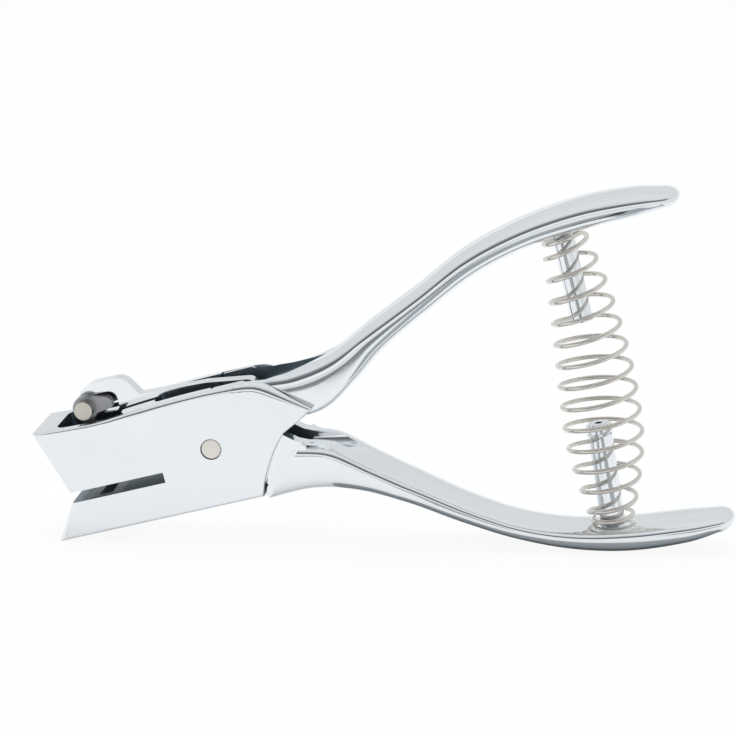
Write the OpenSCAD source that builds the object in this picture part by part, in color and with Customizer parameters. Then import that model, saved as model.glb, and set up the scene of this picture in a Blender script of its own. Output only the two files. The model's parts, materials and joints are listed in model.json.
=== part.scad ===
// Hand-held slot punch: a chrome plier that cuts one long slot in a card or badge.
// The head carries the upper handle. The lower handle and its steel arm cross at the pivot and
// push the punch down through the head, and a barrel spring between the handles opens them again.
// It stands as on a table, on the toe of its lower jaw and the belly of its lower handle:
// +X runs from the jaws to the handles, +Y across the head, +Z up.

/* [Slot] */
// Length of the slot that is cut, across the head
slot_l = 14; // [10:0.5:18]
// Width of the slot that is cut
slot_w = 3; // [2.5:0.25:4]
// Distance along the throat from the pivot to the middle of the slot
punch_reach = 26.3; // [25.5:0.1:27]

/* [Head] */
// Thickness of each cheek beside the cavity
cheek_t = 2.2; // [1.8:0.1:3.5]
// Slope of the throat: the whole head leans nose down by this angle
head_tilt = 14.3; // [12:0.1:16]
// Distance from the pivot forward to the tip of the nose
nose_reach = 38.2; // [37:0.5:41]
// Distance from the pivot forward to the toe of the lower jaw
toe_reach = 39; // [38.5:0.1:41]
// Height of the cheeks above the pivot
crown_h = 12.7; // [12:0.1:13.5]
// Depth of the sole below the pivot
sole_h = 13; // [12:0.1:14]
// Thickness of the sole under the lever
sole_t = 2.3; // [1.5:0.1:2.5]
// Distance from the pivot forward to the closed end of the throat
throat_end = 11.9; // [11.5:0.1:13]
// Drop from the pivot to the upper side of the throat
throat_drop = 2.7; // [2.4:0.1:3]
// Height of the throat, which takes the card
throat_h = 2.35; // [1.8:0.05:2.8]
// Width of the slot in the top of the head where the arm comes out of it
top_slot_w = 6.4; // [5.4:0.1:8]
// Thickness of the top of the head beside that slot
top_t = 2.4; // [1.8:0.1:3]
// Radius of the long lower edges
edge_r = 1; // [0.5:0.1:1.4]
// Radius of the shoulders of the cheeks, full at the rear corner and less towards the nose
shoulder_r = 1.9; // [1:0.1:2.1]

/* [Pivot and punch] */
// Radius of the pivot rivet
rivet_r = 2.2; // [1.8:0.1:2.5]
// Radius of the cross pin on top of the punch
pin_r = 2; // [1.6:0.1:2.1]
// Length of the cross pin
pin_l = 13; // [12:0.5:13.5]
// Height of the cross pin above the pivot when the handles are open
pin_h = 14; // [13.6:0.1:14.2]
// Thickness of the steel arm that drives the pin
arm_t = 3.8; // [3:0.1:4.4]
// Thickness of the die plate under the throat
die_t = 4; // [3:0.25:5]

/* [Handles] */
// Width of the lower handle where it leaves the head
root_w = 18.6; // [17.4:0.2:19]
// Width of both handles where the palm and fingers lie
grip_w = 14.8; // [13:0.2:17]
// Depth of the rounded edge round the inner face of each handle
lip = 0.8; // [0.5:0.1:1.2]

/* [Spring] */
// Thickness of the spring wire
wire_d = 1; // [0.8:0.05:1.2]
// Outer diameter of the spring at each end
spring_end_d = 9.4; // [9:0.1:10.5]
// Outer diameter of the spring at its widest
spring_belly_d = 17.8; // [15:0.1:20]
// Number of turns
spring_turns = 14.5; // [10:0.5:15]
// Diameter of the upper spring post
upper_post_d = 4.8; // [4:0.1:5.4]
// Length of the upper post outside the handle
upper_post_l = 19.6; // [14:0.2:21]
// Diameter of the lower spring post
lower_post_d = 5.4; // [4.5:0.1:5.8]
// Length of the lower post outside the handle
lower_post_l = 22.4; // [16:0.2:24]

/* [Fits] */
// Gap between a running shaft and its bore
run_gap = 0.05; // [0.03:0.01:0.08]
// Gap between flat faces that slide past each other
side_gap = 0.2; // [0.1:0.05:0.3]

/* [Hidden] */
$fn = 96;

chrome = [0.86, 0.88, 0.90];
nickel = [0.72, 0.69, 0.65];
tool_steel = [0.36, 0.36, 0.38];

// Widths across the head: the punch sets the cavity, and the cavity sets the head
cavity_w = slot_l + 2 * side_gap + 0.2;
head_w = cavity_w + 2 * cheek_t;
fork_w = cavity_w - 2 * side_gap;
fork_slot_w = 7.2;
hub_w = fork_slot_w - 2 * run_gap;
hub_r = rivet_r + 4;

// Heights in the head, above the pivot
throat_top = -throat_drop;
throat_floor = throat_top - throat_h;
pocket_floor = 2.5;
pocket_front = punch_reach + 7;
ear_r = pin_r + 0.8;
pocket_rear = punch_reach - 8;
well_front = throat_end - 1.9;
root_front = 3;
channel_front = 10.6;
channel_w = cavity_w - 2.4;

// Line through two points at a share of the way
function between(a, b, share) = a + (b - a) * share;
function unit(v) = v / norm(v);

// Point on a smooth curve that runs through every listed point
function curve_at(p, i, u) =
    let (a = p[max(i - 1, 0)], b = p[i], c = p[i + 1], d = p[min(i + 2, len(p) - 1)])
    0.5 * (2 * b + (c - a) * u + (2 * a - 5 * b + 4 * c - d) * u * u
           + (3 * b - a - 3 * c + d) * u * u * u);
function curve(p, steps) =
    [for (i = [0 : len(p) - 2]) for (k = [0 : steps - 1]) curve_at(p, i, k / steps), p[len(p) - 1]];

// Outline whose corners [x, y, radius] are rounded
function corner(a, b, c) =
    let (u = unit([a.x - b.x, a.y - b.y]), v = unit([c.x - b.x, c.y - b.y]),
         half = acos(u * v) / 2, centre = [b.x, b.y] + unit(u + v) * b.z / sin(half),
         from = atan2(-v.y - u.y, -v.x - u.x), turn = sign(u.y * v.x - u.x * v.y) * (90 - half))
    b.z == 0 ? [[b.x, b.y]]
             : [for (k = [0 : 6]) centre + b.z * [cos(from + turn * (k / 3 - 1)), sin(from + turn * (k / 3 - 1))]];
function rounded(p) =
    [for (i = [0 : len(p) - 1]) each corner(p[(i + len(p) - 1) % len(p)], p[i], p[(i + 1) % len(p)])];

// Side view of the head, in the frame whose X runs along the throat
nose_tip = [-nose_reach, crown_h - 0.6];
cheek_top = curve([nose_tip, [-30.5, crown_h - 1.1], [-23, crown_h - 1.3], [-15, crown_h - 0.7],
                   [-7, crown_h - 0.2], [0, crown_h], [6, crown_h], [11, crown_h - 0.1],
                   [13.8, crown_h - 0.6], [16.3, crown_h - 2.4]], 3);
rear_corner = [24.2, crown_h - 8.9];
cheek_rear = curve([[16.6, -0.1], [13.6, -3.4], [11.2, -7], [9.6, -10], [8.6, -sole_h]], 3);
lip_upper = [-nose_reach + 4.6, throat_top];
lip_lower = [-toe_reach + 5.2, throat_floor];
head_outline = concat(
    [[-nose_reach - 0.02, crown_h - 1.2], nose_tip],
    [for (k = [1 : len(cheek_top) - 1]) cheek_top[k]],
    [rear_corner + [-0.7, 0.5], rear_corner, rear_corner + [-0.6, -0.5]],
    cheek_rear,
    [[-toe_reach + 0.6, -sole_h], [-toe_reach + 0.1, -sole_h + 0.25], [-toe_reach + 0.1, -sole_h + 0.9]],
    [lip_lower, [-throat_end, throat_floor], [-throat_end, throat_top], lip_upper]);

function tilted(p) = [p.x * cos(head_tilt) - p.y * sin(head_tilt), p.x * sin(head_tilt) + p.y * cos(head_tilt)];
toe_z = min([for (p = head_outline) tilted(p).y]);

// Ribs of a handle from the head to the tip, seen from the side with the pivot at the origin:
// [inner face x, inner face z, back x, back z, width, squareness], where 1 is an oval section
palm_w = between(grip_w, root_w, 0.1);
upper_ribs = [
    [14.5, 8.3, 6.6, 14.9, cavity_w - 0.1, 0.3],
    [20.5, 7.2, 11.6, 15.8, cavity_w - 0.1, 0.35],
    [26.2, 9.6, 17.6, 17.0, cavity_w, 0.4],
    [31.8, 15.2, 25.6, 20.6, cavity_w, 0.5],
    [38.5, 22.8, 33.7, 27.2, between(grip_w, cavity_w, 0.3), 0.7],
    [48.1, 31.2, 44.2, 35.3, between(grip_w, cavity_w, 0.1), 0.75],
    [58.2, 39.2, 54.7, 43.8, grip_w, 0.75],
    [68.9, 44.9, 66.3, 50.3, grip_w, 0.75],
    [80.3, 48.8, 78.7, 55.0, grip_w, 0.75],
    [91.1, 51.8, 90.1, 57.3, grip_w, 0.75],
    [97.2, 53.7, 96.4, 57.6, grip_w - 2.0, 0.8]];
lower_ribs = [
    [19.8, 1.2, 11.9, -12.0, root_w, 0.4],
    [26.5, 0.7, 22.0, -9.4, between(grip_w, root_w, 0.9), 0.45],
    [35.0, -3.2, 32.2, -9.7, between(grip_w, root_w, 0.6), 0.55],
    [45.0, -7.5, 43.2, -12.6, between(grip_w, root_w, 0.3), 0.7],
    [56.0, -12.2, 54.6, -16.7, grip_w, 0.75],
    [67.5, -15.8, 66.6, -20.1, grip_w, 0.75],
    [79.0, -17.0, 79.0, toe_z + 0.1, grip_w, 0.75],
    [91.0, -16.2, 91.4, toe_z + 0.1, palm_w, 0.75],
    [102.5, -14.6, 103.6, -19.9, grip_w, 0.75],
    [109.6, -13.7, 110.4, -17.5, grip_w - 2.2, 0.8]];
tip_l = 3.8;

// The last ribs of a handle close round its tip
function tip_ribs(ribs) =
    let (last = ribs[len(ribs) - 1], prev = ribs[len(ribs) - 2],
         inner = [last[0], last[1]], back = [last[2], last[3]], middle = (inner + back) / 2,
         ahead = unit(middle - ([prev[0], prev[1]] + [prev[2], prev[3]]) / 2))
    [for (turn = [22 : 21 : 85])
        let (m = middle + ahead * tip_l * sin(turn), i = m + (inner - middle) * cos(turn),
             b = m + (back - middle) * cos(turn))
        [i.x, i.y, b.x, b.y, last[4] * cos(turn), last[5]]];
function all_ribs(ribs) = let (body = curve(ribs, 4)) concat(body, tip_ribs(body));

// One ring of a handle: a low crown on the inner face and a full, rounded back
sides = 24;
function bulge(value, power) = sign(value) * pow(abs(value), power);
function ring(rib) =
    let (inner = [rib[0], rib[1]], depth = [rib[2], rib[3]] - inner, deep = norm(depth), low = min(lip, deep / 3))
    [for (k = [0 : sides - 1])
        let (c = cos(360 * k / sides), s = sin(360 * k / sides),
             n = s > 0 ? low + (deep - low) * bulge(s, rib[5]) : low + low * bulge(s, 0.5),
             p = inner + depth / deep * n)
        [p.x, -sign(depth.y) * rib[4] / 2 * bulge(c, rib[5]), p.y]];

// Closed skin over a list of rings
function skin_faces(rings, n) = concat(
    [for (r = [0 : rings - 2]) for (k = [0 : n - 1]) each
        let (a = r * n + k, b = r * n + (k + 1) % n) [[a, b, b + n], [a, b + n, a + n]]],
    [[for (k = [n - 1 : -1 : 0]) k]],
    [[for (k = [0 : n - 1]) (rings - 1) * n + k]]);
module skin(points, n) {
    polyhedron(points = points, faces = skin_faces(len(points) / n, n), convexity = 6);
}

upper_rings = [for (rib = all_ribs(upper_ribs)) each ring(rib)];
lower_rings = [for (rib = all_ribs(lower_ribs)) each ring(rib)];

// The part stands on the table with its middle at the origin
pivot_x = -(min([for (p = head_outline) tilted(p).x]) + max([for (p = lower_rings) p.x])) / 2;
pivot_z = -min(toe_z, min([for (p = lower_rings) p.z]));

module at_pivot() {
    translate([pivot_x, 0, pivot_z]) children();
}
// X along the throat and Z square to it, with the pivot at the origin
module in_head() {
    at_pivot() rotate([0, -head_tilt, 0]) children();
}
// A side view extruded across the part
module across(width) {
    rotate([90, 0, 0]) linear_extrude(width, center = true) children();
}
// A round bar or bore across the part
module cross_bar(r, width) {
    rotate([90, 0, 0]) cylinder(r = r, h = width, center = true);
}

// Where a spring post stands on a handle: the point on the inner face and the way the post points
function seat_point(ribs, i, u) = let (p = curve_at(ribs, i, u)) [p[0], p[1]];
function seat_lean(ribs, i, u) =
    let (d = seat_point(ribs, i, u + 0.01) - seat_point(ribs, i, u - 0.01)) atan2(d.y, d.x);
upper_seat = seat_point(upper_ribs, 7, 0.6);
upper_lean = seat_lean(upper_ribs, 7, 0.6);
lower_seat = seat_point(lower_ribs, 6, 0.68);
lower_lean = seat_lean(lower_ribs, 6, 0.68);
upper_post_lean = 13;
lower_post_lean = 8.5;
post_root = 3.4;

// Turns Z to point away from the seat: down from the upper handle, up from the lower one
module at_upper_seat(lean) {
    at_pivot() translate([upper_seat.x, 0, upper_seat.y]) rotate([0, 180 - lean, 0]) children();
}
module at_lower_seat(lean) {
    at_pivot() translate([lower_seat.x, 0, lower_seat.y]) rotate([0, -lean, 0]) children();
}

// Head: two cheeks on a solid nose and lower jaw, with the guide for the punch through the upper jaw
module head_body() {
    color(chrome) in_head() difference() {
        intersection() {
            across(head_w) polygon(head_outline);
            translate([-60, 0, 0]) rotate([90, 0, 90]) linear_extrude(120)
                polygon(rounded([[-head_w / 2, -sole_h, edge_r], [head_w / 2, -sole_h, edge_r],
                                 [head_w / 2, crown_h + 1, 0], [-head_w / 2, crown_h + 1, 0]]));
        }
        translate([0, 0, pocket_floor]) linear_extrude(crown_h - top_t - pocket_floor)
            polygon(rounded([[-pocket_front, -cavity_w / 2, 2.5], [60, -cavity_w / 2, 0],
                             [60, cavity_w / 2, 0], [-pocket_front, cavity_w / 2, 2.5]]));
        translate([0, 0, pocket_floor]) linear_extrude(40) {
            polygon(rounded([[-pocket_front, -cavity_w / 2, 2.5], [-pocket_rear, -cavity_w / 2, 1],
                             [-pocket_rear, cavity_w / 2, 1], [-pocket_front, cavity_w / 2, 2.5]]));
            translate([-pocket_rear - 1, -top_slot_w / 2]) square([pocket_rear + 2, top_slot_w]);
            polygon(rounded([[-channel_front, -channel_w / 2, 2], [root_front + 1, -channel_w / 2, 0],
                             [root_front + 1, channel_w / 2, 0], [-channel_front, channel_w / 2, 2]]));
            translate([root_front, -cavity_w / 2]) square([60, cavity_w]);
        }
        translate([-well_front, -cavity_w / 2, -sole_h + sole_t])
            cube([80, cavity_w, sole_h - sole_t + pocket_floor + 1]);
        translate([-punch_reach - slot_w / 2 - run_gap, -slot_l / 2 - run_gap, throat_top - 1])
            cube([slot_w + 2 * run_gap, slot_l + 2 * run_gap, 10]);
        translate([-punch_reach - die_l / 2, -die_w / 2, throat_floor - die_t]) cube([die_l, die_w, die_t + 1]);
        translate([-punch_reach - slot_w / 2 - 0.5, -slot_l / 2 - 0.5, -sole_h - 1])
            cube([slot_w + 1, slot_l + 1, sole_h]);
        cross_bar(rivet_r, head_w + 2);
        for (side = [-1, 1]) {
            edge_round(lip_upper, nose_tip, side, nose_r);
            edge_round([-toe_reach, -sole_h], lip_lower, side, nose_r);
            edge_round([-16, crown_h + 2.6], [14.6, crown_h + 0.1], side, shoulder_r);
            edge_round([13.6, crown_h + 0.2], [26, crown_h - 8.9], side, shoulder_r);
        }
    }
}
// Rounds the edge between two points of the side view, with the head on the right of the way between them
nose_r = 2;
module edge_round(from, to, side, r) {
    rise = atan2(to.y - from.y, to.x - from.x);
    translate([from.x, side * head_w / 2, from.y]) rotate([0, 90 - rise, 0])
        mirror([0, side > 0 ? 0 : 1, 0]) translate([0, 0, -2]) linear_extrude(norm(to - from) + 4)
            difference() {
                translate([-1, -r]) square([r + 1, r + 1]);
                translate([r, -r]) circle(r);
            }
}

// Die: a hardened plate let into the lower jaw, with the slot that the punch shears into
die_l = slot_w + 5;
die_w = slot_l + 2.4;
die_gap = 0.04;
module die_plate() {
    color(tool_steel) in_head() difference() {
        translate([-punch_reach - die_l / 2, -die_w / 2, throat_floor - die_t]) cube([die_l, die_w, die_t]);
        translate([-punch_reach - slot_w / 2 - die_gap, -slot_l / 2 - die_gap, throat_floor - die_t - 1])
            cube([slot_w + 2 * die_gap, slot_l + 2 * die_gap, die_t + 2]);
    }
}

// Pivot rivet, peened flush with both cheeks
module pivot_rivet() {
    color(nickel) in_head() cross_bar(rivet_r, head_w);
}

// Upper handle: its root is seated between the cheeks as a channel, open along the top for the arm
root_outline = [[1.2, 9.2], [0.3, 13.1], [6.6, 14.8], [8.2, 14.5], [14.6, 9.1], [13.6, 8.6]];
arm_swing_r = 17.9;
channel_rise = 24;
module upper_handle() {
    color(chrome) at_pivot() difference() {
        union() {
            skin(upper_rings, sides);
            across(cavity_w) polygon(root_outline);
        }
        translate([9, 0, 12]) rotate([0, -channel_rise, 0]) linear_extrude(20)
            polygon([[-12, -channel_w / 2], [4, -channel_w / 2], [8.6, -channel_w / 2 + 1.4], [17.4, 0],
                     [8.6, channel_w / 2 - 1.4], [4, channel_w / 2], [-12, channel_w / 2]]);
        across(channel_w) polygon([[-2, 0], [9, 0], [9, 20], [-2, 20]]);
        cross_bar(arm_swing_r, arm_t + 4 * side_gap);
        translate([upper_seat.x, 0, upper_seat.y]) rotate([0, 180 - upper_post_lean, 0])
            translate([0, 0, -post_root]) cylinder(d = upper_post_d, h = post_root + 4);
    }
}

// Upper spring post: a plain pin pressed into the handle, cut on the slant
module upper_spring_post() {
    color(chrome) at_upper_seat(upper_post_lean) difference() {
        translate([0, 0, -post_root]) cylinder(d = upper_post_d, h = post_root + upper_post_l);
        translate([0, 0, upper_post_l]) rotate([0, 16, 0]) translate([-10, -10, 0]) cube(20);
    }
}

// Steel arm: a plate with a domed hook over the cross pin and a hub on the pivot
hook_gap = 0.3;
hook_tip = -punch_reach - 0.9;
hook_end = -punch_reach + 7.1;
lever_rivet_at = [10.6, -3.4];
module lever_arm() {
    slot_high = pin_h + pin_r + hook_gap - 0.1;
    slot_low = pin_h - pin_r - hook_gap - 0.1;
    hook = rounded([[hook_tip, slot_high, 0.3], [hook_tip, pin_h + 3.4, 1.4], [hook_tip + 2.8, pin_h + 4.7, 3],
                    [hook_end + 0.8, pin_h + 4.6, 3.5], [hook_end + 5.4, pin_h + 0.3, 1],
                    [1, pin_h - 0.8, 6], [11.2, pin_h - 2.3, 2], [12.6, pin_h - 5, 1.6], [9.5, 2, 2], [15, -2.4, 2],
                    [12.4, -7, 2], [6, -7.4, 1], [-4.6, -4.6, 2], [hook_end + 9.6, 5.4, 3],
                    [hook_end + 1.7, pin_h - 5.8, 3], [hook_tip + 0.4, pin_h - 5.4, 1.2],
                    [hook_tip, slot_low, 0.5], [hook_end, slot_low, 1.2],
                    [hook_end, slot_high, 1.9]]);
    color(chrome) in_head() difference() {
        union() {
            across(arm_t) polygon(hook);
            cross_bar(hub_r, hub_w);
        }
        cross_bar(rivet_r + run_gap, hub_w + 2);
        translate([lever_rivet_at.x, 0, lever_rivet_at.y]) cross_bar(lever_rivet_r, hub_w + 2);
    }
}

// Rivet that ties the arm to the fork of the lower handle, hidden between the cheeks
lever_rivet_r = 1.5;
module lever_rivet() {
    color(nickel) in_head() translate([lever_rivet_at.x, 0, lever_rivet_at.y])
        cross_bar(lever_rivet_r, fork_w);
}

// Lower handle: a fork on the pivot that grows shoulders behind the cheeks and runs to a broad grip
module lower_handle() {
    fork = [[0, hub_r], [8, 5.2], [15.1, 3.2], [18.6, 1.6], [24, 0.6], [26, -4], [22, -8.4], [13, -9.4],
            [11.4, -7.4], [8.6, -7.4], [0, -hub_r]];
    shoulder = [[19.8, 1.4], [16.4, -2.3], [13.8, -5.6], [12.2, -8.4], [11.9, -10.6], [13, -10.4], [21, 0.6]];
    groove = [[-9, 14], [-9, -9], [13.8, -9], [17.4, -6.4], [20, -3], [22, 4], [18, 14]];
    color(chrome) at_pivot() difference() {
        union() {
            skin(lower_rings, sides);
            across(fork_w) polygon(fork);
            cross_bar(hub_r, fork_w);
            across(root_w - 1.2) polygon(shoulder);
        }
        across(fork_slot_w) polygon(groove);
        translate([17, 0, 0.4]) rotate([0, 87, 0]) cylinder(d = fork_slot_w, h = 20);
        cross_bar(rivet_r + run_gap, fork_w + 2);
        rotate([0, -head_tilt, 0]) translate([lever_rivet_at.x, 0, lever_rivet_at.y])
            cross_bar(lever_rivet_r, fork_w + 6);
        translate([lower_seat.x, 0, lower_seat.y]) rotate([0, -lower_post_lean, 0])
            translate([0, 0, -post_root]) cylinder(d = lower_post_d, h = post_root + 4);
    }
}

// Lower spring post: turned, with a slightly wider head and a centre mark in its end
module lower_spring_post() {
    head_r = lower_post_d / 2 + 0.25;
    color(chrome) at_lower_seat(lower_post_lean) difference() {
        rotate_extrude() polygon([[0, -post_root], [lower_post_d / 2, -post_root],
            [lower_post_d / 2, lower_post_l - 2.6], [head_r, lower_post_l - 2],
            [head_r, lower_post_l - 0.6], [head_r - 0.6, lower_post_l], [0, lower_post_l]]);
        translate([0, 0, lower_post_l - 1.2]) cylinder(r = 0.8, h = 2);
    }
}

// Punch: a slot-shaped blade with two ears that hold the cross pin on both sides of the arm
ear_t = 2.2;
ear_reach = 6.2;
ear_in = arm_t / 2 + side_gap;
module slot_punch() {
    tip = throat_top + 0.2;
    web_top = pin_h - 6.5;
    color(tool_steel) in_head() difference() {
        union() {
            translate([-punch_reach - slot_w / 2, -slot_l / 2, tip]) cube([slot_w, slot_l, web_top - tip]);
            for (side = [-1, 1]) translate([-punch_reach, side * (ear_in + ear_t / 2), 0]) {
                translate([-slot_w / 2, -ear_t / 2, web_top - 1]) cube([slot_w, ear_t, 7.5]);
                translate([0, 0, pin_h]) cross_bar(ear_r, ear_t);
                across(ear_t) polygon(rounded([[0, pin_h - 1.8, 0], [ear_reach, pin_h - 1, 0.6],
                                               [ear_reach, pin_h + 1.5, 1.6], [0, pin_h + 2.4, 0]]));
            }
        }
        translate([-punch_reach, 0, pin_h]) cross_bar(pin_r, slot_l + 2);
    }
}

// Cross pin, pressed through the ears of the punch, in the hook of the arm
module cross_pin() {
    color(nickel) in_head() translate([-punch_reach, 0, pin_h]) cross_bar(pin_r, pin_l);
}

// Barrel spring, one unbroken wire. Its axis bends from square on one seat to square on the other
rings_per_turn = 8;
wire_sides = 6;
seat_clear = wire_d / 2 + 0.06;
spring_from = upper_seat + seat_clear * [sin(upper_lean), -cos(upper_lean)];
spring_to = lower_seat + seat_clear * [-sin(lower_lean), cos(lower_lean)];
spring_pull = 22;
axis_pull_a = spring_from + spring_pull * [sin(upper_lean), -cos(upper_lean)];
axis_pull_b = spring_to + spring_pull * [-sin(lower_lean), cos(lower_lean)];
function axis_point(s) = pow(1 - s, 3) * spring_from + 3 * s * pow(1 - s, 2) * axis_pull_a
                         + 3 * s * s * (1 - s) * axis_pull_b + pow(s, 3) * spring_to;
function axis_way(s) = unit(axis_point(min(s + 0.01, 1)) - axis_point(max(s - 0.01, 0)));
// The end turns lie close, and the turns between them share the rest of the length
end_turns = 0.9;
function along(turn) =
    let (closed = 1.35 * wire_d / norm(spring_to - spring_from), open_turns = spring_turns - 2 * end_turns)
    turn < end_turns ? closed * turn
    : turn > spring_turns - end_turns ? 1 - closed * (spring_turns - turn)
    : closed * end_turns + (1 - 2 * closed * end_turns) * (turn - end_turns) / open_turns;
// The coil swells to its widest a little below the middle
belly_at = 0.65;
function swell(t) = t < belly_at ? sin(90 * t / belly_at) : pow(cos(90 * (t - belly_at) / (1 - belly_at)), 1.4);
function coil_r(turn) = (spring_end_d - wire_d) / 2 + (spring_belly_d - spring_end_d) / 2 * swell(turn / spring_turns);
function coil_point(turn) =
    let (s = along(turn), c = axis_point(s), w = axis_way(s), r = coil_r(turn), a = 360 * turn + 18)
    [c.x - w.y * r * cos(a), -r * sin(a), c.y + w.x * r * cos(a)];
wire_path = [for (k = [0 : spring_turns * rings_per_turn]) coil_point(k / rings_per_turn)];
function wire_ring(k) =
    let (here = wire_path[k], way = unit(wire_path[min(k + 1, len(wire_path) - 1)] - wire_path[max(k - 1, 0)]),
         c = axis_point(along(k / rings_per_turn)), out = unit(here - [c.x, 0, c.y]),
         side = unit(cross(way, out)), lift = cross(side, way))
    [for (j = [0 : wire_sides - 1])
        here + wire_d / 2 * (cos(360 * j / wire_sides) * lift + sin(360 * j / wire_sides) * side)];
module return_spring() {
    color(nickel) at_pivot() skin([for (k = [0 : len(wire_path) - 1]) each wire_ring(k)], wire_sides);
}
// Least gap between one turn of the wire and the next
least_gap = min([for (i = [0 : len(wire_path) - rings_per_turn + 1])
    min([for (j = [i + rings_per_turn - 2 : min(i + rings_per_turn + 2, len(wire_path) - 1)])
        norm(wire_path[i] - wire_path[j])])]) - wire_d;
echo(least_gap_of_spring_mm = least_gap);

head_body();
die_plate();
upper_handle();
upper_spring_post();
pivot_rivet();
lever_arm();
lower_handle();
lever_rivet();
lower_spring_post();
slot_punch();
cross_pin();
return_spring();
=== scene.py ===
# A chrome slot punch for cards and badges, standing on a white table as in a catalogue picture.
import json
import math

import bmesh
import bpy
from mathutils import Matrix, Vector


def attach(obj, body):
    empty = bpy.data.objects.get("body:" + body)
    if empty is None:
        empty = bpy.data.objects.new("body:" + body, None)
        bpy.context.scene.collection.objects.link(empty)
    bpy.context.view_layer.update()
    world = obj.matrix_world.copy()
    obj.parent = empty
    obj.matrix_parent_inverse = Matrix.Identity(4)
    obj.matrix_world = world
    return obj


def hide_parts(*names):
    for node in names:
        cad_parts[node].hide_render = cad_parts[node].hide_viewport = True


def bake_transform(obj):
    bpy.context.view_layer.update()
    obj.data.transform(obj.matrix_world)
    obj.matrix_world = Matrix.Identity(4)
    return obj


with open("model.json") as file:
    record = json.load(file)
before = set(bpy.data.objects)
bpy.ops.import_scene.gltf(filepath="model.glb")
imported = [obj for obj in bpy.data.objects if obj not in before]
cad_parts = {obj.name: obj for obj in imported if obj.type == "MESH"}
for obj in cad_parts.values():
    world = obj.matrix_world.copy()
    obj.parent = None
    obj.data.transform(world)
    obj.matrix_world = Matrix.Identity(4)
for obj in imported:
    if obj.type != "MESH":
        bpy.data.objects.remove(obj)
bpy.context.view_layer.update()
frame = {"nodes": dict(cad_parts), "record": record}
MM = 0.001

# The head: a casting of two cheeks on a solid nose and lower jaw, with the throat for the card. It is
# ground flat and plated with chrome, and only its long edges keep a soft roundness. Its top is open
# over the punch, along the arm and behind the pivot, where the upper handle is seated.
pivot = Vector(frame["record"]["behaviour"]["joints"][0]["pos_m"]) / MM
head_tilt = math.radians(14.3)
at_pivot = Matrix.Translation(pivot)
in_head = at_pivot @ Matrix.Rotation(-head_tilt, 4, "Y")
sideways = Matrix.Rotation(math.pi / 2, 4, "X")
metres = Matrix.Scale(MM, 4)


def curve_at(rows, i, u):
    """The place on a smooth curve through all rows, at the share u of the way from row i to the next."""
    a, b, c, d = rows[max(i - 1, 0)], rows[i], rows[i + 1], rows[min(i + 2, len(rows) - 1)]
    square = 2 * a - 5 * b + 4 * c - d
    cube = 3 * b - a - 3 * c + d
    return (2 * b + (c - a) * u + square * u * u + cube * u**3) / 2


def smooth_path(points, steps):
    """Points on a smooth curve that runs through every listed point."""
    rows = [Vector(p) for p in points]
    path = [curve_at(rows, i, k / steps) for i in range(len(rows) - 1) for k in range(steps)]
    return path + [rows[-1]]


def look_up(table, x):
    """The value at x in a table of (x, value) pairs, on the straight line between its neighbours."""
    for (x0, value0), (x1, value1) in zip(table, table[1:]):
        if x < x1:
            break
    return value0 + (value1 - value0) * (x - x0) / (x1 - x0)


def rounded(points, bend=8):
    """An outline whose corners [x, y, radius] are rounded."""
    outline = []
    for i, (x, y, radius) in enumerate(points):
        here = Vector((x, y))
        if radius == 0:
            outline.append(here)
            continue
        before = (Vector(points[i - 1][:2]) - here).normalized()
        after = (Vector(points[(i + 1) % len(points)][:2]) - here).normalized()
        half = before.angle(after) / 2
        centre = here + (before + after).normalized() * radius / math.sin(half)
        start = math.atan2(-(before + after).y, -(before + after).x)
        turn = math.copysign(math.pi / 2 - half, before.y * after.x - before.x * after.y)
        for k in range(bend + 1):
            angle = start + turn * (2 * k / bend - 1)
            outline.append(centre + radius * Vector((math.cos(angle), math.sin(angle))))
    return outline


def oblong(x0, y0, x1, y1, left=0, right=0):
    """A rectangle between two opposite corners, with a corner radius for its left and its right end."""
    return rounded([(x0, y0, left), (x1, y0, right), (x1, y1, right), (x0, y1, left)])


def new_piece(name, form, place):
    """Turns a bmesh in millimetres into an object in the row frame."""
    form.transform(metres @ place)
    bmesh.ops.recalc_face_normals(form, faces=form.faces)
    shape = bpy.data.meshes.new(name)
    form.to_mesh(shape)
    form.free()
    piece = bpy.data.objects.new(name, shape)
    bpy.context.scene.collection.objects.link(piece)
    return piece


def skin(form, rings):
    """Covers the rings of a form with faces from each to the next, and closes both ends."""
    form.faces.new(rings[0][::-1])
    form.faces.new(rings[-1])
    for low, high in zip(rings, rings[1:]):
        for k in range(len(low)):
            m = (k + 1) % len(low)
            form.faces.new((low[k], low[m], high[m], high[k]))


def across(name, outline, width, place):
    """A side view extruded across the punch."""
    form = bmesh.new()
    near = [form.verts.new((p[0], -width / 2, p[1])) for p in outline]
    far = [form.verts.new((p[0], width / 2, p[1])) for p in outline]
    skin(form, (far, near))
    return new_piece(name, form, place)


def upright(name, outline, low, high, place):
    """A plan view extruded upwards."""
    form = bmesh.new()
    skin(form, [[form.verts.new((p[0], p[1], z)) for p in outline] for z in (low, high)])
    return new_piece(name, form, place)


def turned(name, profile, place, segments=64):
    """A profile of [radius, height] points turned about the upright axis, closed at both ends."""
    form = bmesh.new()
    rings = []
    for radius, height in profile:
        ring = []
        for k in range(segments):
            angle = 2 * math.pi * k / segments
            ring.append(form.verts.new((radius * math.cos(angle), radius * math.sin(angle), height)))
        rings.append(ring)
    skin(form, rings)
    return new_piece(name, form, place)


def cross_bore(radius):
    """A tool for a hole on the axis of the pivot, longer than the punch is wide."""
    return turned("bore", [(radius, -20), (radius, 20)], in_head @ sideways, 48)


def settle(piece):
    """Works out a piece's modifiers and keeps the result as its mesh."""
    view = bpy.context.evaluated_depsgraph_get()
    shape = bpy.data.meshes.new_from_object(piece.evaluated_get(view))
    piece.modifiers.clear()
    piece.data = shape
    return piece


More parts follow.
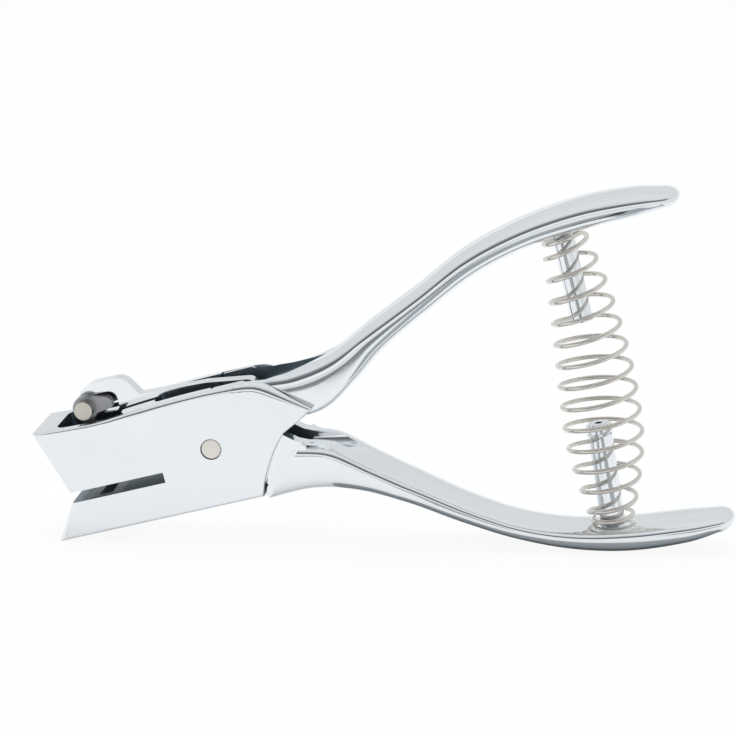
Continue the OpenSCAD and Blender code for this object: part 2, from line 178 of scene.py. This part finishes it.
def carve(piece, *tools, operation="DIFFERENCE"):
    """Cuts each tool out of the piece, or joins it on."""
    for tool in tools:
        step = piece.modifiers.new("carve", "BOOLEAN")
        step.operation = operation
        step.solver = "MANIFOLD"
        step.object = tool
        settle(piece)
        bpy.data.objects.remove(tool)
    return piece


def soften(piece, width, angle=35, segments=2):
    """Takes the sharpness off the piece's edges and shades its curved faces smoothly."""
    if width > 0:
        step = piece.modifiers.new("soften", "BEVEL")
        step.width = width * MM
        step.segments = segments
        step.limit_method = "ANGLE"
        step.angle_limit = math.radians(angle)
        settle(piece)
    piece.data.shade_smooth()
    piece.data.set_sharp_from_angle(angle=math.radians(angle))
    flats = piece.modifiers.new("flats", "WEIGHTED_NORMAL")
    flats.keep_sharp = True
    return settle(piece)


head_w, nose_reach, toe_reach = 19.0, 38.2, 39.0
crown_h, sole_h, sole_t = 12.7, 13.0, 2.3
throat_end, throat_top, throat_h = 11.9, -2.7, 2.35
throat_floor = throat_top - throat_h
cavity_w, pocket_floor, pocket_front, pocket_rear = 14.6, 2.5, 33.3, 18.3
top_t, top_slot_w, channel_w, channel_front = 2.4, 6.4, 12.2, 10.6
root_front, well_front, rivet_r = 3.0, 10, 2.2
punch_reach, slot_l, slot_w, die_t = 26.3, 14.0, 3.0, 4.0
# How far the cheeks' top edge lies below the crown, from the nose to the rear corner.
crown_drop = (
    (-34.5, 0.85),
    (-30.5, 1.1),
    (-23, 1.3),
    (-15, 0.7),
    (-7, 0.2),
    (0, 0),
    (6, 0),
    (10.6, 0.1),
    (13.6, 0.65),
    (16.4, 2.4),
    (20.2, 5.6),
    (24.2, 8.9),
)
cheek_top = [Vector((-nose_reach, crown_h - 0.6))]
cheek_top += smooth_path([(x, crown_h - drop) for x, drop in crown_drop], 4)
cheek_rear = smooth_path([(16.6, -0.1), (13.6, -3.4), (11.2, -7), (9.6, -10), (8.6, -sole_h)], 3)
# The fronts of the two jaws slant back to the mouth of the throat.
jaw_fronts = [
    Vector((0.1 - toe_reach, -sole_h)),
    Vector((5.76 - toe_reach, -4.2)),
    Vector((4.91 - nose_reach, -3.7)),
]
head_outline = cheek_top + [Vector((22.6, crown_h - 9.9))] + cheek_rear + jaw_fronts
head = across("head", head_outline, head_w, in_head)
# The share of the full rounding along the top: the shoulders of the cheeks are rounder towards the
# rear corner, where the handle leaves the head.
full_rounding = 2.0
shoulder = (
    (-40, 0.25),
    (-23, 0.35),
    (-12, 0.6),
    (2, 0.55),
    (7, 0.62),
    (11, 0.85),
    (14, 1.0),
    (17, 0.9),
    (20, 0.55),
    (25, 0.2),
)
front_share, rear_share, sole_share = 0.7, 0.15, 0.35
weights = head.data.attributes.new("bevel_weight_edge", "FLOAT", "EDGE")
to_head = in_head.inverted()
# Edges that run across the head stay sharp. The others are told apart by their middles: the fronts
# of the jaws, the tops of the cheeks, their rear ends, and the sole.
for edge in head.data.edges:
    ends = [to_head @ (head.data.vertices[v].co / MM) for v in edge.vertices]
    middle = (ends[0] + ends[1]) / 2
    if abs(ends[0].y - ends[1].y) > 1e-3:
        share = 0.0
    elif max(ends[0].x, ends[1].x) < -33 and -12.5 < middle.z < crown_h - 1:
        share = front_share
    elif (middle.z > 3 and middle.z > 2 - middle.x) or middle.z > crown_h - 2:
        share = look_up(shoulder, middle.x)
    elif middle.x > 5 and middle.z > 0.5 - sole_h:
        share = rear_share
    else:
        share = sole_share
    weights.data[edge.index].value = share
rounding = head.modifiers.new("rounding", "BEVEL")
rounding.width = full_rounding * MM
rounding.segments = 6
rounding.limit_method = "WEIGHT"
rounding.use_clamp_overlap = False
settle(head)
half, past, mid_throat = cavity_w / 2, 60, -4
guide_half, die_half, chip_half = slot_w / 2 + 0.05, slot_w / 2 + 2.5, slot_w / 2 + 0.5
# Every tool starts or ends a hair off the one before, so that no two of their faces share a plane.
carve(
    head,
    upright("hollow", oblong(-pocket_front, -half, past, half, 2.5), pocket_floor, crown_h - top_t, in_head),
    upright(
        "pocket",
        oblong(-pocket_front, -half, -pocket_rear, half, 2.5, 1),
        pocket_floor + 0.01,
        30,
        in_head,
    ),
    upright(
        "arm_slot",
        oblong(-pocket_rear - 1, -top_slot_w / 2, 1, top_slot_w / 2),
        pocket_floor + 0.02,
        31,
        in_head,
    ),
    upright(
        "arm_channel",
        oblong(-channel_front, -channel_w / 2, 4, channel_w / 2, 2),
        pocket_floor + 0.025,
        31.5,
        in_head,
    ),
    upright("seat", oblong(root_front, -half, past, half), pocket_floor + 0.03, 32, in_head),
    across("throat", oblong(-past, throat_floor, -throat_end, throat_top), 40, in_head),
    upright("well", oblong(-well_front, -half, past + 1, half), sole_t - sole_h, pocket_floor + 1, in_head),
    across(
        "guide",
        oblong(-punch_reach - guide_half, throat_top - 1, -punch_reach + guide_half, 6),
        slot_l + 0.1,
        in_head,
    ),
    across(
        "die_seat",
        oblong(-punch_reach - die_half, throat_floor - die_t, -punch_reach + die_half, mid_throat),
        slot_l + 2.4,
        in_head,
    ),
    across(
        "chip_way",
        oblong(-punch_reach - chip_half, -20, -punch_reach + chip_half, -8),
        slot_l + 1,
        in_head,
    ),
    cross_bore(rivet_r + 0.14),
)
soften(head, 0.12, 40)
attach(head, "frame")
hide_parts("head_body")


class Surface:
    """A value on its way over a surface. Arithmetic adds Math nodes, and add() puts in any other node."""

    def __init__(self, tree, socket=None):
        self.tree = tree
        self.socket = socket

    def add(self, kind, settings=None, inputs=None, out=0):
        node = self.tree.nodes.new(kind)
        for name, value in (settings or {}).items():
            if name == "stops":
                ramp = node.color_ramp
                while len(ramp.elements) < len(value):
                    ramp.elements.new(0.5)
                for element, (place, shade) in zip(ramp.elements, value):
                    element.position = place
                    element.color = (*shade, 1)
            else:
                setattr(node, name, value)
        for key, value in (inputs or {}).items():
            if isinstance(value, Surface):
                self.tree.links.new(value.socket, node.inputs[key])
            else:
                node.inputs[key].default_value = value
        return Surface(self.tree, node.outputs[out])

    def math(self, operation, first, second):
        return self.add("ShaderNodeMath", {"operation": operation}, {0: first, 1: second})

    def mix(self, first, second):
        """The first colour where this value is 0, going over to the second where it is 1."""
        return self.add("ShaderNodeMix", {"data_type": "RGBA"}, {0: self, 6: first, 7: second}, out=2)

    def __add__(self, other):
        return self.math("ADD", self, other)

    __radd__ = __add__

    def __mul__(self, other):
        return self.math("MULTIPLY", self, other)

    __rmul__ = __mul__

    def __sub__(self, other):
        return self.math("SUBTRACT", self, other)

    def __rsub__(self, other):
        return self.math("SUBTRACT", other, self)


def metal_finish(name, light, dark, rough, spread, depth, grain=(1, 1, 1)):
    """A bare or plated metal: its shade drifts between two tones, and fine grain catches the light."""
    finish = bpy.data.materials.new(name)
    finish.use_nodes = True
    tree = finish.node_tree
    shader = tree.nodes["Principled BSDF"]
    shader.inputs["Metallic"].default_value = 1.0
    start = Surface(tree)
    place = start.add("ShaderNodeTexCoord", out="Object")
    wide = {"Vector": place, "Scale": 60.0, "Detail": 3.0, "Roughness": 0.6}
    drift = start.add("ShaderNodeTexNoise", {}, wide)
    stretched = start.add("ShaderNodeMapping", {}, {"Vector": place, "Scale": grain})
    fine = {"Vector": stretched, "Scale": 900.0, "Detail": 4.0, "Roughness": 0.7}
    lines = start.add("ShaderNodeTexNoise", {}, fine)
    tone = drift.mix((*dark, 1), (*light, 1))
    tree.links.new(tone.socket, shader.inputs["Base Color"])
    roughness = rough + spread * (drift + lines - 1.0)
    tree.links.new(roughness.socket, shader.inputs["Roughness"])
    bump = start.add("ShaderNodeBump", {}, {"Height": lines, "Strength": depth, "Distance": 0.00002})
    tree.links.new(bump.socket, shader.inputs["Normal"])
    return finish


def paint(piece, finish):
    """Gives the finish to the whole piece."""
    piece.data.materials.clear()
    piece.data.materials.append(finish)


def dull_with_painted_shade(piece, finish, place, hidden):
    """Gives the dark inner finish, a painted shade, to the faces inside a piece, picked by middle and normal
    in the given frame.
    """
    piece.data.materials.append(finish)
    back = place.inverted()
    for face in piece.data.polygons:
        if hidden(back @ (face.center / MM), back.to_3x3() @ face.normal):
            face.material_index = len(piece.data.materials) - 1


# A face is taken to lie in an opening when it is no further than this from its walls.
hair = 0.02


def in_head_cavity(at, normal):
    """Whether a face of the head lies in the throat or in the cavity between the cheeks."""
    if throat_floor - hair < at.z < throat_top + hair and at.x < hair - throat_end:
        return abs(normal.z) > 0.9 or at.x > -hair - throat_end
    if abs(at.y) > cavity_w / 2 + hair or at.z < 0.1 - sole_h or at.x < -0.05 - pocket_front:
        return False
    return normal.z < 0.5 or at.z < crown_h - 1.8


head_chrome = metal_finish(
    "head_chrome", light=(0.90, 0.91, 0.925), dark=(0.82, 0.83, 0.85), rough=0.10, spread=0.05, depth=0.08
)
# The inner finish is rougher than the chrome, and its dark colour is painted shade for the hollows.
rough_inner_painted_shade = metal_finish(
    "rough_inner_painted_shade", light=(0.27, 0.33, 0.37), dark=(0.15, 0.20, 0.23), rough=0.38, spread=0.15, depth=0.5
)
paint(head, head_chrome)
# The throat and the cavity between the cheeks get painted shade.
dull_with_painted_shade(head, rough_inner_painted_shade, in_head, in_head_cavity)

# The pivot rivet: a plain rod of nickelled steel, pressed through both cheeks, the arm and the fork.
# Its ends are faced off flush with the cheeks and have a narrow chamfer.
nickel = metal_finish(
    "nickel", light=(0.84, 0.80, 0.75), dark=(0.60, 0.56, 0.51), rough=0.12, spread=0.08, depth=0.2
)
chamfer, rivet_end = 0.2, head_w / 2
rivet_profile = [
    (rivet_r - chamfer, -rivet_end),
    (rivet_r, chamfer - rivet_end),
    (rivet_r, rivet_end - chamfer),
    (rivet_r - chamfer, rivet_end),
]
rivet = soften(turned("rivet", rivet_profile, in_head @ sideways), 0)
paint(rivet, nickel)
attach(rivet, "frame")
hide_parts("pivot_rivet")

# The arm: a steel plate, stamped and plated, that turns on the rivet between the cheeks. Its domed
# front hooks over the cross pin, and only its top edge shows along the head.
hook_tip, hook_end, pin_h, arm_w = -27.2, -19.2, 14.0, 3.8
notch_top, notch_floor = pin_h + 2.2, pin_h - 2.4
arm_outline = rounded(
    [
        (hook_tip, notch_top, 0.3),
        (hook_tip, 17.5, 1.2),
        (hook_tip + 3.2, 18.8, 5),
        (hook_end + 2.4, 18.6, 3.6),
        (hook_end + 5.2, 13.9, 0.8),
        (1, 13.2, 6),
        (11.2, 11.7, 2),
        (12.6, 9, 1.6),
        (9.5, 2, 2),
        (15, -2.4, 2),
        (12.4, -7, 2),
        (6, -7.4, 1),
        (-4.6, -4.6, 2),
        (hook_end + 9.6, 5.4, 3),
        (hook_end + 1.7, 8.2, 3),
        (hook_tip + 0.4, 8.6, 1.2),
        (hook_tip, notch_floor, 0.5),
        (hook_end, notch_floor, 1.2),
        (hook_end, notch_top, 1.9),
    ]
)
arm = across("arm", arm_outline, arm_w, in_head)
carve(arm, cross_bore(rivet_r + 0.1))
soften(arm, 0.3, segments=4)
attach(arm, "lever")
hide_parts("lever_arm")
paint(arm, head_chrome)

# The handles: die castings of half-round section with a low crown on the inner face, polished and
# plated. The upper one is seated between the cheeks, and the lower one turns with the arm on the rivet.
handle_chrome = metal_finish(
    "handle_chrome", light=(0.90, 0.915, 0.93), dark=(0.82, 0.84, 0.86), rough=0.10, spread=0.04, depth=0.06
)
grip_w, root_w, tip_l, table_z = 14.8, 18.6, 3.8, -pivot.z


def between(first, last, share):
    return first + (last - first) * share


# Each handle's ribs, from the root to the tip: x and z on the inner face, x and z on the back, the
# width, and the roundness of the section, from 1 for an oval down to 0 for a rectangle.
upper_ribs = [
    (14.5, 8.3, 6.6, 14.9, cavity_w - 0.1, 0.3),
    (20.5, 7.2, 11.6, 15.8, cavity_w - 0.1, 0.35),
    (26.2, 9.6, 17.6, 17.0, cavity_w, 0.4),
    (31.8, 15.2, 25.6, 20.6, cavity_w, 0.5),
    (38.5, 22.8, 33.7, 27.2, between(grip_w, cavity_w, 0.3), 0.7),
    (48.1, 31.2, 44.2, 35.3, between(grip_w, cavity_w, 0.1), 0.75),
    (58.2, 39.2, 54.7, 43.8, grip_w, 0.75),
    (68.9, 44.9, 66.3, 50.3, grip_w, 0.75),
    (80.3, 48.8, 78.7, 55.0, grip_w, 0.75),
    (91.1, 51.8, 90.1, 57.3, grip_w, 0.75),
    (97.2, 53.7, 96.4, 57.6, grip_w - 2.0, 0.8),
]
lower_ribs = [
    (19.8, 1.2, 11.9, -12.0, root_w, 0.4),
    (26.5, 0.7, 22.0, -9.4, between(grip_w, root_w, 0.9), 0.45),
    (35.0, -3.2, 32.2, -9.7, between(grip_w, root_w, 0.6), 0.55),
    (45.0, -7.5, 43.2, -12.6, between(grip_w, root_w, 0.3), 0.7),
    (56.0, -12.2, 54.6, -16.7, grip_w, 0.75),
    (67.5, -15.8, 66.6, -20.1, grip_w, 0.75),
    (79.0, -17.0, 79.0, table_z + 0.1, grip_w, 0.75),
    (91.0, -16.2, 91.4, table_z + 0.1, between(grip_w, root_w, 0.1), 0.75),
    (102.5, -14.6, 103.6, -19.9, grip_w, 0.75),
    (109.6, -13.7, 110.4, -17.5, grip_w - 2.2, 0.8),
]
inner_roundness = 0.65


def bulge(value, power):
    """The value raised to the power, with its sign kept."""
    return math.copysign(abs(value) ** power, value)


def handle_ring(rib, sides=72):
    """The section at a rib, which is widest a little above the low crown of its inner face."""
    inner_x, inner_z, back_x, back_z, width, roundness = rib
    inner = Vector((inner_x, 0, inner_z))
    depth = Vector((back_x, 0, back_z)) - inner
    deep = depth.length
    # The squarer the section, the nearer to the inner face it is widest.
    widest = deep * min(0.14 + 0.9 * (roundness - 0.3), 0.46)
    ring = []
    for k in range(sides):
        c, s = math.cos(2 * math.pi * k / sides), math.sin(2 * math.pi * k / sides)
        if s > 0:
            n = widest + (deep - widest) * bulge(s, roundness)
        else:
            n = widest + widest * bulge(s, inner_roundness)
        point = inner + depth * (n / deep)
        point.y = math.copysign(width / 2 * bulge(c, roundness), -depth.z * c)
        ring.append(point)
    return ring


def handle(name, ribs):
    """A skin over the ribs, closed round the tip."""
    body = smooth_path(ribs, 14)
    last, before = body[-1], body[-2]
    inner, back = Vector((last[0], last[1])), Vector((last[2], last[3]))
    middle = (inner + back) / 2
    ahead = (middle - (Vector((before[0], before[1])) + Vector((before[2], before[3]))) / 2).normalized()
    for turn in range(8, 89, 8):
        c, s = math.cos(math.radians(turn)), math.sin(math.radians(turn))
        at = middle + ahead * tip_l * s
        i, b = at + (inner - middle) * c, at + (back - middle) * c
        body.append(Vector((i.x, i.y, b.x, b.y, last[4] * c, last[5])))
    form = bmesh.new()
    skin(form, [[form.verts.new(p) for p in handle_ring(rib)] for rib in body])
    return new_piece(name, form, at_pivot)


# The channel for the arm in the upper handle's root: half its width at each place along it.
channel_sides = ((-12, channel_w / 2), (4, channel_w / 2), (8.6, 4.7), (17.4, 0))
channel_plan = [(x, -y) for x, y in channel_sides] + [(x, y) for x, y in channel_sides[-2::-1]]
channel_way = Matrix.Translation((9, 0, 12)) @ Matrix.Rotation(-math.radians(24), 4, "Y")
way_end, swing_r, swing_half = 9, 17.9, arm_w / 2 + 0.4
upper_root = [(1.2, 9.2), (0.3, 13.1), (6.6, 14.8), (8.2, 14.5), (14.6, 9.1), (13.6, 8.6)]
upper = handle("upper_handle_cast", upper_ribs)
carve(upper, across("root", upper_root, cavity_w - 0.02, at_pivot), operation="UNION")
carve(
    upper,
    upright("channel", channel_plan, 0, 20, at_pivot @ channel_way),
    across("way_in", oblong(-2, 0, way_end, 20), channel_w, at_pivot),
    turned("swing", [(swing_r, -swing_half), (swing_r, swing_half)], at_pivot @ sideways, 96),
)
soften(upper, 0, 32)
fork_w, hub_r, arm_way_w, trough_rise = 14.2, 6.2, 7.2, math.radians(3)
fork_outline = [
    (0, hub_r),
    (8, 5.2),
    (15.1, 3.2),
    (18.6, 1.6),
    (24, 0.6),
    (26, -4),
    (22, -8.4),
    (13, -9.4),
    (11.4, -7.4),
    (8.6, -7.4),
    (0, -hub_r),
]
root_shoulder = [(19.8, 1.4), (16.4, -2.3), (13.8, -5.6), (12.2, -8.4), (11.9, -10.6), (13, -10.4), (21, 0.6)]
arm_way = [(-9, 14), (-9, -9), (13.8, -9), (17.4, -6.4), (20, -3), (22, 4), (18, 14)]
trough_way = Matrix.Translation((17, 0, 0.4)) @ Matrix.Rotation(math.pi / 2 - trough_rise, 4, "Y")
lower = handle("lower_handle_cast", lower_ribs)
carve(
    lower,
    across("fork", fork_outline, fork_w, at_pivot),
    turned("hub", [(hub_r, -fork_w / 2), (hub_r, fork_w / 2)], at_pivot @ sideways, 48),
    across("shoulder", root_shoulder, root_w - 1.2, at_pivot),
    operation="UNION",
)
carve(
    lower,
    across("arm_way", arm_way, arm_way_w, at_pivot),
    turned("trough", [(arm_way_w / 2, 0), (arm_way_w / 2, 20)], at_pivot @ trough_way, 48),
    cross_bore(rivet_r + 0.1),
)
soften(lower, 0, 32)


def in_channel(at, normal):
    """Whether a face of the upper handle lies in the channel for the arm."""
    q = channel_way.inverted() @ at
    in_plan = q.z > -hair and abs(q.y) < look_up(channel_sides, q.x) + hair
    return in_plan or (at.x < way_end + hair and abs(at.y) < channel_w / 2 + hair)


def in_fork(at, normal):
    """Whether a face of the lower handle lies between the prongs of its fork."""
    return abs(at.y) < arm_way_w / 2 + hair and -9 < at.z and at.x < 21 and normal.z > -0.3


for piece, body, node, hidden in (
    (upper, "frame", "upper_handle", in_channel),
    (lower, "lever", "lower_handle", in_fork),
):
    paint(piece, handle_chrome)
    # The channel in the upper handle and the fork of the lower one get painted shade.
    dull_with_painted_shade(piece, rough_inner_painted_shade, at_pivot, hidden)
    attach(piece, body)
    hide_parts(node)

# The spring posts: turned pins, plated like the handles and let into them inside the spring's ends.
# They keep the shapes that the CAD gives them.
for name in ("upper_spring_post", "lower_spring_post"):
    paint(frame["nodes"][name], handle_chrome)

# The cross pin and the lever rivet: plain steel rod cut to length. The pin lies in the arm's notch and
# carries the punch, and the rivet ties the arm to the lower handle's fork.
pin_steel = metal_finish(
    "pin_steel", light=(0.68, 0.65, 0.58), dark=(0.48, 0.45, 0.40), rough=0.32, spread=0.12, depth=0.25
)
for name in ("cross_pin", "lever_rivet"):
    paint(frame["nodes"][name], pin_steel)

# The punch and the die: hardened tool steel, ground on the cutting faces and left bare. The punch runs
# in the upper jaw, and the die is let into the lower one.
tool_steel = metal_finish(
    "tool_steel",
    light=(0.40, 0.40, 0.41),
    dark=(0.24, 0.24, 0.25),
    rough=0.32,
    spread=0.1,
    depth=0.3,
    grain=(1, 1, 6),
)
for name in ("slot_punch", "die_plate"):
    paint(frame["nodes"][name], tool_steel)

# The return spring: nickelled wire wound in a barrel. Its end coils lie round the posts, against the
# handles.
wire_d, end_d, belly_d, turns = 1.0, 9.4, 17.8, 14.5
end_turns, end_pitch, first_angle = 0.9, 1.35 * wire_d, 18
belly_at, taper = 0.65, 1.4
pull, steps, wire_sides = 22, 36, 14


def spring_end(ribs, i, u, side):
    """The end of the coil's axis on a handle's inner face, past rib i, and its way out of the handle."""
    xs, zs = [rib[0] for rib in ribs], [rib[1] for rib in ribs]
    run = curve_at(xs, i, u + 0.01) - curve_at(xs, i, u - 0.01)
    rise = curve_at(zs, i, u + 0.01) - curve_at(zs, i, u - 0.01)
    out = side * Vector((-rise, run)).normalized()
    return Vector((curve_at(xs, i, u), curve_at(zs, i, u))) + (wire_d / 2 + 0.06) * out, out


# The axis is bent, because it leaves both inner faces squarely.
spring_from, from_upper = spring_end(upper_ribs, 7, 0.6, -1)
spring_to, from_lower = spring_end(lower_ribs, 6, 0.68, 1)
controls = [spring_from, spring_from + pull * from_upper, spring_to + pull * from_lower, spring_to]


def axis_point(s):
    """The place on the bent axis of the coil, where s runs from 0 at the upper end to 1."""
    a, b, c, d = controls
    return (1 - s) ** 3 * a + 3 * s * (1 - s) ** 2 * b + 3 * s * s * (1 - s) * c + s**3 * d


def along(turn):
    """How far along the axis a turn lies. The turns at both ends lie closer together."""
    closed = end_pitch / (spring_to - spring_from).length
    if turn < end_turns:
        return closed * turn
    if turn > turns - end_turns:
        return 1 - closed * (turns - turn)
    return closed * end_turns + (1 - 2 * closed * end_turns) * (turn - end_turns) / (turns - 2 * end_turns)


def coil_point(turn):
    """The middle of the wire at a turn, out from the axis by the radius that the barrel has there."""
    s, t = along(turn), turn / turns
    centre = axis_point(s)
    way = (axis_point(min(s + 0.01, 1)) - axis_point(max(s - 0.01, 0))).normalized()
    if t < belly_at:
        swell = math.sin(math.pi / 2 * t / belly_at)
    else:
        swell = max(math.cos(math.pi / 2 * (t - belly_at) / (1 - belly_at)), 0) ** taper
    r = (end_d - wire_d) / 2 + (belly_d - end_d) / 2 * swell
    a = math.radians(360 * turn + first_angle)
    return Vector((centre.x - way.y * r * math.cos(a), -r * math.sin(a), centre.y + way.x * r * math.cos(a)))


wire_path = [coil_point(k / steps) for k in range(int(turns * steps) + 1)]
form = bmesh.new()
rings = []
for k, here in enumerate(wire_path):
    way = (wire_path[min(k + 1, len(wire_path) - 1)] - wire_path[max(k - 1, 0)]).normalized()
    centre = axis_point(along(k / steps))
    out = (here - Vector((centre.x, 0, centre.y))).normalized()
    side = way.cross(out).normalized()
    lift = side.cross(way)
    ring = []
    for j in range(wire_sides):
        angle = 2 * math.pi * j / wire_sides
        ring.append(form.verts.new(here + wire_d / 2 * (math.cos(angle) * lift + math.sin(angle) * side)))
    rings.append(ring)
skin(form, rings)
spring = soften(new_piece("spring", form, at_pivot), 0)
paint(spring, nickel)
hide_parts("return_spring")
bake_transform(spring)

# The white table: matt, and wide enough to run out of the picture. Seen directly it is almost plain
# white, so that only a faint shadow is left of the punch, and in the metal it glows a little too.
table_end, seen_glow, mirrored_glow = 3000, 0.92, 0.2


def sheet(name, corners):
    """A flat piece of the studio, with its corners in millimetres."""
    form = bmesh.new()
    form.faces.new([form.verts.new(corner) for corner in corners])
    piece = new_piece(name, form, Matrix())
    return piece


table = sheet("table", [(*corner, 0) for corner in oblong(-table_end, -table_end, table_end, table_end)])
table_white = bpy.data.materials.new("table_white")
table_white.use_nodes = True
table_tree = table_white.node_tree
table_shader = table_tree.nodes["Principled BSDF"]
table_shader.inputs["Base Color"].default_value = (0.95, 0.96, 0.965, 1)
table_shader.inputs["Roughness"].default_value = 0.9
table_shader.inputs["Specular IOR Level"].default_value = 0.0
table_start = Surface(table_tree)
seen = table_start.add("ShaderNodeLightPath", out="Is Camera Ray")
mirrored = table_start.add("ShaderNodeLightPath", out="Is Glossy Ray")
through_glass = table_start.add("ShaderNodeLightPath", out="Is Transmission Ray")
glow = seen_glow * seen + mirrored_glow * (mirrored + through_glass)
table_light = table_tree.nodes.new("ShaderNodeEmission")
table_light.inputs["Strength"].default_value = 1.0
table_mix = table_tree.nodes.new("ShaderNodeMixShader")
table_tree.links.new(glow.socket, table_mix.inputs[0])
table_tree.links.new(table_shader.outputs[0], table_mix.inputs[1])
table_tree.links.new(table_light.outputs[0], table_mix.inputs[2])
table_tree.links.new(table_mix.outputs[0], table_tree.nodes["Material Output"].inputs["Surface"])
paint(table, table_white)

# The studio: a pale tent with a bright lower rim, and on the side of the camera the dark of the room
# between the rim and the roof. Seen directly it is plain white.
tent_stops = (
    (0.0, (0.80, 0.83, 0.84)),
    (0.10, (0.94, 0.96, 0.97)),
    (0.18, (0.70, 0.72, 0.74)),
    (0.34, (0.76, 0.78, 0.79)),
    (0.55, (0.74, 0.77, 0.79)),
    (0.95, (0.80, 0.83, 0.84)),
)
front_stops = (
    (0.0, (0.70, 0.72, 0.73)),
    (0.10, (1.0, 1.0, 1.0)),
    (0.26, (0.92, 0.93, 0.94)),
    (0.33, (0.07, 0.08, 0.09)),
    (0.66, (0.24, 0.26, 0.28)),
    (0.80, (0.72, 0.74, 0.75)),
)
room = bpy.data.worlds.new("studio")
room.use_nodes = True
bpy.context.scene.world = room
room_tree = room.node_tree
backing = room_tree.nodes["Background"]
room_start = Surface(room_tree)
way = room_start.add("ShaderNodeTexCoord", out="Generated")
back_way = room_start.add("ShaderNodeSeparateXYZ", {}, {0: way}, out="Y")
height = room_start.add("ShaderNodeSeparateXYZ", {}, {0: way}, out="Z")
tent = room_start.add("ShaderNodeValToRGB", {"stops": tent_stops}, {0: height})
front = room_start.add("ShaderNodeValToRGB", {"stops": front_stops}, {0: height})
front_range = {"Value": back_way, "From Min": -0.15, "From Max": -0.55, "To Min": 0.0, "To Max": 1.0}
front_side = room_start.add("ShaderNodeMapRange", {}, front_range)
looked_at = room_start.add("ShaderNodeLightPath", out="Is Camera Ray")
shown = looked_at.mix(front_side.mix(tent, front), (1, 1, 1, 1))
room_tree.links.new(shown.socket, backing.inputs["Color"])
backing.inputs["Strength"].default_value = 1.0

# Four cards that only the metal sees. A grey one before the punch shades the lower halves of the
# handles, a darker one streaks the root of the upper handle and a black one its tip, and a mat below,
# a painted shadow under the handles, draws their lower edges against the white.
grey_corners = (
    (-25, -330, 1),
    (140, -330, 1),
    (110, -36, 1),
    (62, -36, 1),
    (54, -115, 1),
    (34, -115, 1),
    (26, -36, 1),
    (12, -36, 1),
)
for name, corners, grey in (
    ("grey_card", grey_corners, 0.38),
    ("root_card", ((-130, -520, 1), (-25, -520, 1), (-20, -165, 1), (-75, -175, 1)), 0.20),
    ("tip_card", ((40, -300, 2), (66, -300, 2), (60, -118, 2), (44, -118, 2)), 0.03),
    # The mat is a painted shadow: a grey sheet under the handles that only the metal mirrors.
    ("painted_shadow_mat", ((-12, -16, 0.05), (76, -16, 0.05), (76, 16, 0.05), (-12, 16, 0.05)), 0.40),
):
    card = sheet(name, corners)
    card.visible_camera = False
    card.visible_shadow = False
    card.visible_diffuse = False
    finish = bpy.data.materials.new(name)
    finish.use_nodes = True
    shader = finish.node_tree.nodes["Principled BSDF"]
    shader.inputs["Base Color"].default_value = (grey, grey * 1.06, grey * 1.1, 1)
    shader.inputs["Roughness"].default_value = 0.9
    paint(card, finish)

# The lamp: one wide soft box that hangs over the table, a little behind the punch and to its left. It
# only casts light, and the metal doesn't mirror it.
lamp = bpy.data.lights.new("overhead", "AREA")
lamp.size = 0.8
lamp.energy = 4.0
box = bpy.data.objects.new("overhead", lamp)
box.location = (-0.1, 0.1, 1.0)
box.visible_glossy = False
box.rotation_euler = (-box.location).to_track_quat("-Z", "Y").to_euler()
bpy.context.scene.collection.objects.link(box)

# The camera: it stands a little to the right of the punch and looks slightly down on it. The picture
# is turned by a trace, as the photograph wasn't quite level.
azimuth, elevation, distance = math.radians(7.5), math.radians(14.5), 620
turned_by, aim_x, aim_z = 0.0113, 33.33, 17.05
pixels_per_mm, picture_w, sensor_w = 4.58, 736, 36


def levelled(v):
    """Turns a place or a direction by as much as the photograph is off level."""
    return Vector((v[0] + turned_by * v[2], v[1], v[2] - turned_by * v[0]))


toward = Vector(
    (math.sin(azimuth) * math.cos(elevation), -math.cos(azimuth) * math.cos(elevation), math.sin(elevation))
)
right = Vector((math.cos(azimuth), math.sin(azimuth), 0))
up = toward.cross(right)
toward, right, up = (levelled(v).normalized() for v in (toward, right, up))
target = levelled((aim_x, 0, aim_z)) + pivot
eye = bpy.data.cameras.new("camera")
eye.lens = pixels_per_mm * distance / picture_w * sensor_w
eye.sensor_width = sensor_w
camera = bpy.data.objects.new("camera", eye)
spot = Matrix.Translation((target + toward * distance) * MM)
camera.matrix_world = spot @ Matrix((right, up, toward)).transposed().to_4x4()
bpy.context.scene.collection.objects.link(camera)
bpy.context.scene.camera = camera
bpy.context.scene.view_settings.view_transform = "Standard"
